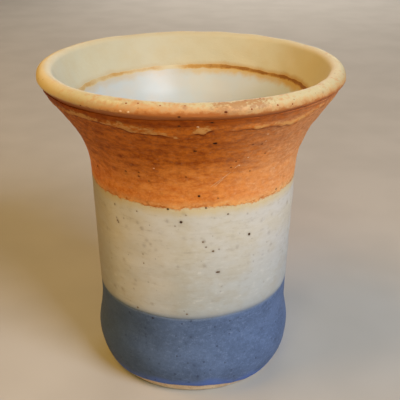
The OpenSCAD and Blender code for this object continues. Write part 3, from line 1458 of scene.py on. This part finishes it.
@dataclass
class CollarCoat(Coat):
    """The orange coat, with a roll of cream glaze under the lip."""

    roll_under: Optional[Roll] = None
    ridge: float = 0.34
    ridge_rise: tuple[float, float] = (-0.35, 0.15)
    ridge_fall: tuple[float, float] = (0.4, 1.0)
    shade_span: tuple[float, float, float, float] = (-1.3, -0.5, -0.3, 0.05)
    cream_rise: tuple[float, float] = (-0.1, 0.3)
    cream_fall: tuple[float, float] = (0.6, 1.4)
    groove_fill: float = 0.22
    fill_span: tuple[float, float] = (0.2, 1.8)
    brush_depth: float = 0.02
    brush_pitch: float = 5.3
    brush_lumps: Lumps = Lumps(5, 0.03, 9, 3.2)

    def relief(self, theta: Array, run: Array) -> Array:
        """Add the brush marks and the ridge of the roll to the plain relief.

        Args:
            theta: Angle of each place.
            run: Distance of each place along the skin.

        Returns:
            How far the surface stands out of the plain skin, in millimetres.
        """
        brush = self.brush_depth * np.sin(math.tau * run / self.brush_pitch + 2 * theta)
        total = super().relief(theta, run) + brush + self.brush_lumps(theta, run)
        gap, reach, cream = self.roll_under.lay(theta, run)
        fall, beyond = self.ridge_fall
        total = total + self.ridge * np.sqrt(cream) * swell(gap, *self.ridge_rise, fall, reach + beyond)
        return total + self.groove_fill * (1 - ease(self.end.at(theta) - run, *self.fill_span))

    def notes(self, theta: Array, run: Array) -> dict[str, Array]:
        """Add how much cream lies at each place, and where the roll throws its shade.

        Args:
            theta: Angle of each place.
            run: Distance of each place along the skin.

        Returns:
            The values by name, each with one value for every place.
        """
        gap, reach, cream = self.roll_under.lay(theta, run)
        under = np.sqrt(cream) * swell(gap, *self.shade_span)
        fall, end = (reach * share for share in self.cream_fall)
        cream = cream * swell(gap, *self.cream_rise, fall, end)
        return {**super().notes(theta, run), "cream": cream, "under": under}


@dataclass
class LipCoat(Coat):
    """The cream coat over the lip, warmer on one side and with a toasted patch in front."""

    patch: tuple[float, float] = (0.0, 0.0)
    patch_size: tuple[float, float] = (0.2, 2.6)
    groove_fill: float = 0.22
    fill_span: tuple[float, float] = (0.4, 2.3)
    warm_side: float = -2.5
    sunk: float = 0.16
    least_sunk: float = 0.07
    dip: Wave = Wave(41, 0.07, 2, 9)
    dents: Lumps = Lumps(12, 0.05, 9, 7)

    def relief(self, theta: Array, run: Array) -> Array:
        """Keep the lip within the section, and let it dip a little.

        Args:
            theta: Angle of each place.
            run: Distance of each place along the skin.

        Returns:
            How far the surface stands out of the plain skin, in millimetres.
        """
        uneven = self.dip(theta) + self.dents(theta, run)
        fill = self.groove_fill * (1 - ease(run - self.start.at(theta), *self.fill_span))
        return np.minimum(uneven - self.sunk, -self.least_sunk) + fill

    def notes(self, theta: Array, run: Array) -> dict[str, Array]:
        """Add the toasted patch, the warm side and the iron below.

        Args:
            theta: Angle of each place.
            run: Distance of each place along the skin.

        Returns:
            The values by name, each with one value for every place.
        """
        across = apart(theta, self.patch[0]) / self.patch_size[0]
        up = (run - self.patch[1]) / self.patch_size[1]
        blush = np.exp(-across ** 4 - up ** 2)
        warm = 0.5 + 0.5 * np.cos(apart(theta, self.warm_side))
        return {**super().notes(theta, run), "blush": blush, "warm": warm, "strong": self.iron.at(theta)}


@dataclass
class ThroatCoat(Coat):
    """A coat that takes its colour from the iron round the throat."""

    def notes(self, theta: Array, run: Array) -> dict[str, Array]:
        """Add how strong the iron is."""
        return {**super().notes(theta, run), "strong": self.iron.at(theta)}


@dataclass
class ClayBody(Piece):
    """The thrown clay under the coats, bare only at its trimmed foot."""

    section: Section
    skin: Skin
    hand: Hand
    around: int = 240
    spacing: float = 1.2
    bevel: float = 0.5
    bevel_rise: float = 0.4
    ring_round: tuple[float, float] = (0.4, 0.12)
    mark_step: float = 0.22
    mark_sink: float = 0.1
    marks: tuple[tuple[float, float], ...] = ((0.07, 1.5), (0.03, 0.62))
    sharp: float = 50.0

    layer = Layer.CLAY

    def build(self) -> None:
        """Turn the body, with the potter's trimming marks under its foot."""
        section = self.section
        run = np.linspace(0, self.skin.length, int(self.skin.length / self.spacing))
        radius, height = self.skin.at(run, section.glaze_t)
        height[0] = self.bevel_rise
        ring_in = radius[0] - section.ring_w
        recess = ring_in - section.recess_slope
        inner = np.arange(0, recess, self.mark_step)
        marks = sum(depth * np.sin(math.tau * inner / pitch) for depth, pitch in self.marks)
        wide, low = self.ring_round
        ring_r = [recess, ring_in, ring_in + wide, radius[0] - self.bevel]
        ring_z = [section.recess_h, low, 0, 0]
        self.piece = Bench.turn(
            "clay_foot_and_wall", np.concatenate([inner, ring_r, radius]),
            np.concatenate([section.recess_h - self.mark_sink + marks, ring_z, height]),
            self.around, closed=False)
        theta, reach, level = Bench.polar(self.piece)
        Bench.move(self.piece, self.hand.settle(reach, level, theta))
        Bench.smooth(self.piece, self.sharp)


@dataclass(frozen=True)
class Dot:
    """A small spot on the glaze, at a pixel of the photograph, with its size in millimetres."""

    px: float
    py: float
    wide: float
    tall: float
    burn: float = 0.35


@dataclass
class Scatter(Piece):
    """Small raised spots of one kind, in one piece: those seen in front, and others like them behind."""

    name: str
    coats: Sequence[Coat]
    view: Viewfinder
    dots: Sequence[Dot]
    behind: int
    seed: int
    lowest: float
    highest: float
    grow: float = 1.0
    thick: float = 0.22
    thick_share: float = 0.45
    sunk: float = 0.25
    rough: float = 0.036
    sharp: float = 80.0
    edge_gap: float = 0.25
    small: tuple[float, float] = (0.35, 0.7)
    large: tuple[float, float] = (0.8, 1.2)
    small_share: float = 0.85
    flat: tuple[float, float] = (0.6, 1.0)
    burns: tuple[float, float] = (0.2, 0.6)
    segments: int = 14
    rings: int = 8

    layer = None

    def places(self) -> list[tuple[float, float, float, float, float]]:
        """List the spots.

        Returns:
            The angle, the distance along the skin, the width, the height and the burn of each spot.
        """
        skin, hand = self.coats[0].skin, self.coats[0].hand
        seen = [
            (*self.view.hit(skin, hand, dot.px, dot.py), dot.wide, dot.tall, dot.burn)
            for dot in self.dots]
        draw = np.random.default_rng(self.seed)
        low, high = skin.outside(self.lowest), skin.outside(self.highest)
        for _ in range(self.behind):
            theta = draw.uniform(self.edge_gap, math.pi - self.edge_gap)
            run = draw.uniform(low, high)
            sizes = self.small if draw.uniform() < self.small_share else self.large
            wide = draw.uniform(*sizes)
            seen.append((theta, run, wide, wide * draw.uniform(*self.flat), draw.uniform(*self.burns)))
        return seen

    def blank(self) -> bpy.types.Object:
        """Model the round bead that every spot is copied from.

        Returns:
            The bead, 1 mm across.
        """
        Bench.clear()
        bpy.ops.mesh.primitive_uv_sphere_add(
            segments=self.segments, ring_count=self.rings, radius=0.5 * MM)
        return bpy.context.object

    def bead(
        self, blank: bpy.types.Object, theta: float, run: float, wide: float, tall: float, burn: float,
    ) -> bpy.types.Object:
        """Set a flattened copy of the bead on the glaze.

        Args:
            blank: The bead that is copied.
            theta: Angle of the bead.
            run: Distance of the bead along the skin.
            wide: Width, in millimetres.
            tall: Height along the wall, in millimetres.
            burn: How dark it is burnt, from 0 to 1.

        Returns:
            The bead.
        """
        coat = next((each for each in self.coats if each.holds(theta, run)), self.coats[-1])
        place, along, out = coat.seat(theta, run)
        thick = min(self.thick, self.thick_share * tall)
        bead = blank.copy()
        bead.data = blank.data.copy()
        bead.location = place - out * thick * self.sunk * MM
        bead.rotation_euler = Matrix((along, out.cross(along), out)).transposed().to_euler()
        bead.scale = (wide * self.grow, tall * self.grow, thick)
        bpy.context.collection.objects.link(bead)
        # Spots are cool on the lowest coat, and warm above the second
        notes = {"burn": burn, "cool": coat is self.coats[0], "warm": coat in self.coats[2:]}
        for name, value in notes.items():
            Bench.note(bead, name, np.full(len(bead.data.vertices), float(value)))
        return bead

    def build(self) -> None:
        """Set a bead at every place, join them and roughen them."""
        blank = self.blank()
        beads = [self.bead(blank, *place) for place in self.places()]
        bpy.data.meshes.remove(blank.data)
        self.piece = Bench.join(self.name, beads, beads[-1])
        bpy.ops.object.mode_set(mode="EDIT")
        bpy.ops.mesh.select_all(action="SELECT")
        bpy.ops.transform.vertex_random(offset=self.rough * MM, seed=self.seed)
        bpy.ops.object.mode_set(mode="OBJECT")
        Bench.smooth(self.piece, self.sharp)


@dataclass
class Scratches(Piece):
    """Pale scraped lines on the collar, each a thin raised ribbon on the glaze."""

    name: str
    coat: Coat
    view: Viewfinder
    strokes: Sequence[tuple[tuple[float, float], tuple[float, float], float]]
    lift: float = 0.03
    thick: float = 0.08
    steps: int = 24
    blunt: float = 0.6
    sharp: float = 80.0

    layer = None

    def ribbon(
        self, first: tuple[float, float], last: tuple[float, float], wide: float,
    ) -> bpy.types.Object:
        """Lay one ribbon along a line of pixels.

        Args:
            first: Pixel at its start.
            last: Pixel at its end.
            wide: Width of the ribbon, in millimetres.

        Returns:
            The ribbon.
        """
        Bench.clear()
        places, sides = [], []
        for pixel in np.linspace(first, last, self.steps):
            place, _, out = self.coat.seat(*self.view.hit(self.coat.skin, self.coat.hand, *pixel))
            places.append(place + out * self.lift * MM)
            sides.append(out)
        corners = []
        for i, (place, following) in enumerate(zip(places, places[1:])):
            taper = math.sin(math.pi * (i + self.blunt) / self.steps) ** 0.5
            half = (following - place).cross(sides[i]).normalized() * wide * MM / 2 * taper
            corners += [place - half, place + half]
        bpy.ops.mesh.primitive_grid_add(x_subdivisions=1, y_subdivisions=self.steps - 2, size=2 * MM)
        piece = bpy.context.object
        grid = [vertex.co for vertex in piece.data.vertices]
        order = sorted(range(len(grid)), key=lambda i: (round(grid[i].y, 7), grid[i].x))
        flat = np.empty((len(order), 3))
        flat[order] = corners
        Bench.move(piece, flat)
        solid = piece.modifiers.new("thick", "SOLIDIFY")
        solid.thickness = self.thick * MM
        solid.offset = 0.0
        bpy.ops.object.modifier_apply(modifier=solid.name)
        return piece

    def build(self) -> None:
        """Lay every ribbon and join them."""
        ribbons = [self.ribbon(*stroke) for stroke in self.strokes]
        self.piece = Bench.join(self.name, ribbons, ribbons[0])
        bpy.ops.object.mode_set(mode="EDIT")
        bpy.ops.mesh.select_all(action="SELECT")
        bpy.ops.mesh.normals_make_consistent(inside=False)
        bpy.ops.object.mode_set(mode="OBJECT")
        Bench.smooth(self.piece, self.sharp)


@dataclass(frozen=True)
class Lamp:
    """A square soft light, with its place and size in metres."""

    name: str
    place: tuple[float, float, float]
    size: float
    watts: float
    tint: tuple[float, float, float]

    def hang(self, target: Vector) -> None:
        """Hang the lamp.

        Args:
            target: The place that it faces.
        """
        data = bpy.data.lights.new(self.name, "AREA")
        data.size = self.size
        data.energy = self.watts
        data.color = self.tint
        lamp = bpy.data.objects.new(self.name, data)
        lamp.location = self.place
        lamp.rotation_euler = (target - lamp.location).to_track_quat("-Z", "Y").to_euler()
        bpy.context.scene.collection.objects.link(lamp)


@dataclass(frozen=True)
class Studio:
    """A plain pale floor and soft light."""

    floor_size: float = 6.0
    floor: Colour = paint(186, 183, 178)
    floor_dust: Colour = paint(180, 177, 172)
    dust_size: float = 40.0
    sky: Colour = (1.0, 0.97, 0.92, 1.0)
    sky_strength: float = 0.03
    target: tuple[float, float, float] = (0, 0, 0.06)
    lamps: tuple[Lamp, ...] = (
        Lamp("key", (0.5, -0.51, 0.58), 0.4, 7.5, (0.8, 0.86, 1.0)),
        Lamp("front", (-0.12, -0.68, 0.64), 0.5, 2.1, (1.0, 0.85, 0.3)),
        Lamp("side", (-0.46, -0.1, 0.84), 0.5, 4.3, (1.0, 0.52, 0.08)),
        Lamp("back", (0.1, 0.86, 0.36), 0.6, 2.6, (1.0, 0.93, 0.84)),
    )

    def build(self) -> None:
        """Lay the floor and light it."""
        Bench.clear()
        bpy.ops.mesh.primitive_grid_add(x_subdivisions=4, y_subdivisions=4, size=self.floor_size)
        floor = bpy.context.object
        floor.name = "floor"
        g = Graph("floor")
        colour = g.mix(g.noise(size=self.dust_size).step(-0.2, 0.2), self.floor, self.floor_dust)
        floor.data.materials.append(g.surface(colour, 0.8, specular=0.2))
        world = bpy.data.worlds.new("studio")
        world.use_nodes = True
        sky = world.node_tree.nodes["Background"]
        sky.inputs["Color"].default_value = self.sky
        sky.inputs["Strength"].default_value = self.sky_strength
        bpy.context.scene.world = world
        bpy.context.scene.view_settings.view_transform = "Standard"
        for lamp in self.lamps:
            lamp.hang(Vector(self.target))


class Vase:
    """The whole vase: its clay, its coats and the marks on them."""

    # Pixel of the toasted patch on the lip
    PATCH_PIXEL = (244, 104)
    # Lower edge of the roll of cream: pixel column and row, reach above it in millimetres, and strength
    ROLL = (
        (60, 108, 1.6, 0.5), (74, 114, 2.0, 0.85), (84, 117, 2.0, 0.85), (93, 120, 1.6, 0.7),
        (101, 122, 1.3, 0.5), (112, 125, 1.8, 0.8), (122, 128, 2.6, 0.85), (132, 132, 3.2, 0.7),
        (141, 133, 3.0, 0.7), (156, 134, 2.6, 0.8), (165, 135, 2.0, 0.6), (175, 139, 1.4, 0.3),
        (184, 137, 1.0, 0.08), (192, 134, 1.5, 0.4), (198, 133, 2.6, 0.95), (204, 134, 2.6, 1.0),
        (209, 131, 2.2, 0.85), (214, 129, 1.0, 0.2), (224, 131, 1.0, 0.08), (238, 130, 1.2, 0.12),
        (246, 128, 1.1, 0.6), (254, 128, 1.4, 0.9), (262, 127, 1.4, 0.85), (270, 125, 1.2, 0.55),
        (280, 125, 1.5, 0.8), (291, 123, 1.9, 0.95), (299, 120, 1.8, 0.9), (307, 115, 1.6, 0.8),
        (316, 109, 1.6, 0.6), (324, 105, 1.3, 0.4),
    )
    # Iron spots: pixel column and row, width and height in millimetres, and how dark they are burnt
    SPOTS = (
        Dot(215, 143, 1.25, 0.8, 1.0), Dot(195, 151, 1.0, 0.55, 0.9), Dot(199, 196, 0.75, 0.7, 1.0),
        Dot(179, 118, 0.8, 0.6, 0.8), Dot(179, 126, 0.9, 0.6, 0.8), Dot(212, 122, 0.9, 0.6, 0.9),
        Dot(226, 112, 0.9, 0.5, 0.6), Dot(253, 144, 0.6, 0.5, 0.6), Dot(262, 144, 0.6, 0.5, 0.6),
        Dot(265, 153, 0.5, 0.4, 0.5), Dot(236, 161, 0.6, 0.45, 0.6), Dot(231, 167, 0.55, 0.45, 0.7),
        Dot(250, 171, 0.4, 0.4, 0.6), Dot(276, 189, 0.7, 0.5, 0.5), Dot(126, 171, 0.6, 0.5, 0.7),
        Dot(139, 172, 0.6, 0.4, 0.6), Dot(139, 176, 0.6, 0.5, 0.7), Dot(149, 181, 0.5, 0.4, 0.6),
        Dot(186, 177, 0.5, 0.4, 0.6), Dot(98, 166, 0.6, 0.7, 0.7), Dot(218, 198, 0.4, 0.3, 0.6),
        Dot(206, 208, 0.6, 0.5, 0.6), Dot(168, 209, 0.7, 0.5, 0.8), Dot(228, 214, 0.6, 0.5, 0.6),
        Dot(115, 204, 0.45, 0.9, 0.4), Dot(118, 220, 0.7, 0.45, 0.5), Dot(119, 222, 0.5, 0.4, 0.5),
        Dot(117, 217, 0.4, 0.35), Dot(124, 218, 0.35, 0.3, 0.2), Dot(137, 211, 0.5, 0.4, 0.3),
        Dot(181, 222, 0.9, 0.85, 0.85), Dot(175, 226, 0.4, 0.4, 0.3), Dot(186, 215, 0.4, 0.3),
        Dot(249, 234, 0.9, 0.85, 0.8), Dot(203, 242, 0.6, 0.5, 0.5), Dot(206, 247, 0.55, 0.45, 0.5),
        Dot(213, 251, 0.85, 0.6, 0.5), Dot(219, 249, 0.4, 0.3), Dot(218, 272, 1.4, 0.6, 0.65),
        Dot(144, 263, 0.45, 0.4, 0.2), Dot(143, 254, 0.4, 0.35, 0.2), Dot(138, 307, 0.65, 0.55, 0.5),
        Dot(187, 314, 0.6, 0.5, 0.5), Dot(153, 318, 0.75, 0.55, 0.6), Dot(191, 321, 0.5, 0.4, 0.3),
        Dot(182, 324, 0.45, 0.4), Dot(215, 327, 0.45, 0.4), Dot(230, 321, 0.45, 0.4),
        Dot(176, 336, 0.4, 0.35), Dot(191, 337, 0.4, 0.35), Dot(217, 346, 0.5, 0.4),
        Dot(177, 356, 0.5, 0.45), Dot(188, 363, 0.4, 0.4), Dot(225, 363, 0.5, 0.4),
        Dot(198, 376, 0.5, 0.4), Dot(146, 334, 0.45, 0.4), Dot(256, 358, 0.4, 0.4),
        Dot(126, 103, 0.6, 0.4, 0.3), Dot(138, 103, 0.5, 0.35, 0.3), Dot(80, 106, 0.6, 0.4, 0.5),
        Dot(160, 105, 0.4, 0.35, 0.1), Dot(185, 105, 0.4, 0.3, 0.1), Dot(260, 98, 0.6, 0.5, 0.1),
        Dot(252, 109, 0.45, 0.4, 0.2), Dot(278, 105, 0.5, 0.4, 0.2), Dot(293, 104, 0.5, 0.35, 0.1),
    )
    # Painted glints, small glossy domes whose pale colour is a painted highlight: pixel column and row, width
    # and height in millimetres
    PAINTED_GLINTS = (
        Dot(154, 168, 0.7, 0.45), Dot(268, 134, 0.9, 0.55), Dot(266, 141, 0.6, 0.5),
        Dot(248, 157, 0.7, 0.55), Dot(274, 168, 0.7, 0.5), Dot(120, 111, 1.1, 0.55),
        Dot(128, 112, 0.9, 0.55), Dot(198, 127, 0.8, 0.5), Dot(239, 165, 0.8, 0.5),
    )
    # Scratches: first and last pixel, and width in millimetres
    STROKES = (
        ((210, 187), (232, 171), 0.3),
        ((214, 187), (224, 178), 0.22),
        ((234, 168), (239, 164), 0.3),
    )
    # How far the edges of coats lie from the section's own lines, in millimetres along the skin
    FOOT_SHIFT = 0.3
    GROOVE_SHIFT = -0.1
    IRON_SHIFT = -0.35
    # The roll of cream behind: its draw, and its angles, drop under the groove, reach and strength
    ROLL_SEED = 77
    ROLL_ANGLES = (0.15, math.pi - 0.1, 0.12)
    ROLL_DROP = 4.6
    ROLL_STRAY = 0.7
    ROLL_REACH = (1.0, 2.3)
    ROLL_CREAM = (0.1, 0.9)
    # Stains round the spots: radius and strength, each with what a wider or darker spot adds
    STAIN_SIZE = (0.35, 0.5)
    STAIN_SHARE = (0.3, 0.3)
    # Faint stains all over: their draw, number, lowest place, radius and strength
    FAINT_SEED = 88
    FAINT_COUNT = 420
    FAINT_FROM = 4
    FAINT_SIZE = (0.4, 1.0)
    FAINT_SHARE = (0.15, 0.5)

    def __init__(self, view: Viewfinder) -> None:
        """Work out the skin.

        Args:
            view: The photograph's camera.
        """
        self.view = view
        self.section = Section.from_frame()
        self.skin = Skin(self.section)
        self.hand = Hand()
        self.groove = float(self.skin.outside(self.section.groove_z))

    def hit(self, px: float, py: float) -> tuple[float, float]:
        """Angle, and distance along the skin, of a pixel of the photograph."""
        return self.view.hit(self.skin, self.hand, px, py)

    def roll(self) -> Roll:
        """Lay out the roll of cream: as it is seen in front, and more like it behind.

        Returns:
            The roll.
        """
        rows = [(*self.hit(px, py), reach, cream) for px, py, reach, cream in self.ROLL]
        draw = np.random.default_rng(self.ROLL_SEED)
        for theta in np.arange(*self.ROLL_ANGLES):
            place = self.groove - self.ROLL_DROP + draw.normal(0, self.ROLL_STRAY)
            rows.append((theta, place, draw.uniform(*self.ROLL_REACH), draw.uniform(*self.ROLL_CREAM)))
        return Roll(*np.array(sorted(rows)).T)

    def stains(self) -> Stains:
        """Lay out the stains: round the spots that are seen in front, and fainter ones all over.

        Returns:
            The stains.
        """
        size, more_size = self.STAIN_SIZE
        share, more_share = self.STAIN_SHARE
        rows = [
            (*self.hit(dot.px, dot.py), size + more_size * dot.wide, share + more_share * dot.burn)
            for dot in self.SPOTS]
        draw = np.random.default_rng(self.FAINT_SEED)
        for _ in range(self.FAINT_COUNT):
            place = (draw.uniform(-math.pi, math.pi), draw.uniform(self.FAINT_FROM, self.groove))
            rows.append((*place, draw.uniform(*self.FAINT_SIZE), draw.uniform(*self.FAINT_SHARE)))
        return Stains(self.skin, rows)

    def coats(self) -> list[tuple[Coat, Finish]]:
        """Lay out the coats from the foot to the floor inside.

        Returns:
            The coats, each with its finish.
        """
        section, skin = self.section, self.skin
        inner = {"skin": skin, "hand": self.hand, "thickness": section.glaze_t}
        outer = {**inner, "stains": self.stains()}
        foot = Edge(
            skin.outside(section.bare_h) + self.FOOT_SHIFT, (Wave(1, 0.14, 2, 9), Wave(2, 0.06, 12, 40)),
            tilt=0.8, high_side=-1.9, hump=1.9)
        blue_top = Edge(skin.outside(section.foot_line_z), (Wave(3, 0.1, 2, 7),), tilt=0.4)
        white_top = Edge(
            skin.outside(section.waist_line_z), (Wave(4, 0.22, 2, 9), Wave(5, 0.15, 20, 90)), tilt=0.2)
        groove = Edge(self.groove + self.GROOVE_SHIFT, (Wave(6, 0.06, 3, 14),), tilt=0.5)
        iron_top = Edge(
            skin.inside(section.iron_z) + self.IRON_SHIFT, (Wave(7, 0.16, 2, 9), Wave(8, 0.1, 14, 60)),
            tilt=-0.5, high_side=0.5)
        iron_low = Edge(
            skin.inside(section.iron_z - section.iron_w), (Wave(9, 0.16, 2, 9), Wave(10, 0.14, 14, 60)),
            tilt=-0.5, high_side=0.5)
        # The foot's deep side is painted shade on its left.
        foot_coat = Coat(
            "foot_coat", Layer.FOOT, start=foot, end=blue_top, rows=64, around=480, roll=0.7, drop=0.3,
            sides=(Side("deep", -2.75, 1.2),), **outer)
        # The waist's deep side is painted shade on its left, and its pale side painted light on its front
        # left.
        waist_coat = Coat(
            "waist_coat", Layer.WAIST, start=blue_top, end=white_top, rows=90, around=480, proud=0.08,
            roll=0.6, drop=0.08, sides=(Side("deep", -3.0, 0.66), Side("pale", -2.12, 0.46)), **outer)
        # The collar's pale side is a painted sheen on its right.
        collar_coat = CollarCoat(
            "collar_coat", Layer.COLLAR, start=white_top, end=groove, rows=120, around=600, proud=0.08,
            roll=0.4, drop=0.02, roll_under=self.roll(), sides=(Side("pale", -0.25, 1.27),), **outer)
        # Of the lip's sides, the first is painted light on the lip's left, the second painted light inside
        # the flare on the right and the third painted shade inside the flare at the back.
        lip_sides = (
            Side("painted_light_fair", -2.9, 0.65), Side("glow", 0.05, 0.8), Side("painted_shade_dim", 1.8, 0.9),
            Side("ruddy", -1.84, 0.42), Side("scorch", -1.63, 0.45))
        lip_coat = LipCoat(
            "lip_coat", Layer.LIP, start=groove, end=iron_top, rows=80, around=600, drop=0.02,
            patch=self.hit(*self.PATCH_PIXEL), sides=lip_sides, **outer)
        iron_ring = ThroatCoat(
            "iron_ring", Layer.IRON, start=iron_top, end=iron_low, rows=8, around=600, drop=0.04, **inner)
        liner_coat = ThroatCoat(
            "liner_coat", Layer.LINER, start=iron_low, end=Edge(skin.length), rows=120, around=360,
            drop=0.0, sides=(Side("cool", 0.35, 1.0),), **inner)
        return [
            (foot_coat, BlueGlaze()), (waist_coat, WhiteGlaze()), (collar_coat, OrangeGlaze()),
            (lip_coat, CreamGlaze()), (iron_ring, RustGlaze()), (liner_coat, LinerGlaze()),
        ]

    def pieces(self) -> list[tuple[Piece, Finish]]:
        """List every piece in the order of building.

        Returns:
            The pieces, each with its finish.
        """
        coats = self.coats()
        outer = [coat for coat, _ in coats[:4]]
        collar = outer[2]
        scrape = PaleMark("scrape", paint(224, 166, 116), paint(206, 136, 82))
        return [
            (ClayBody(self.section, self.skin, self.hand), BareClay()),
            *coats,
            (Scatter("iron_spots", outer, self.view, self.SPOTS, behind=70, seed=301,
                     lowest=6.0, highest=104.0, grow=1.22), IronSpot()),
            # The pale domes at the glints are painted highlights.
            (Scatter("painted_glints", outer, self.view, self.PAINTED_GLINTS, behind=8, seed=302,
                     lowest=78.0, highest=104.0), PaleMark()),
            (Scratches("scratches", collar, self.view, self.STROKES), scrape),
        ]

    def build(self) -> None:
        """Build and dress every piece in order."""
        for piece, finish in self.pieces():
            piece.build()
            piece.dress(finish)


def main() -> None:
    """Build the vase, the studio and the camera."""
    logging.basicConfig(level=logging.INFO, format="%(message)s")
    view = Viewfinder()
    view.place()
    Vase(view).build()
    Studio().build()


if __name__ == "__main__":
    main()
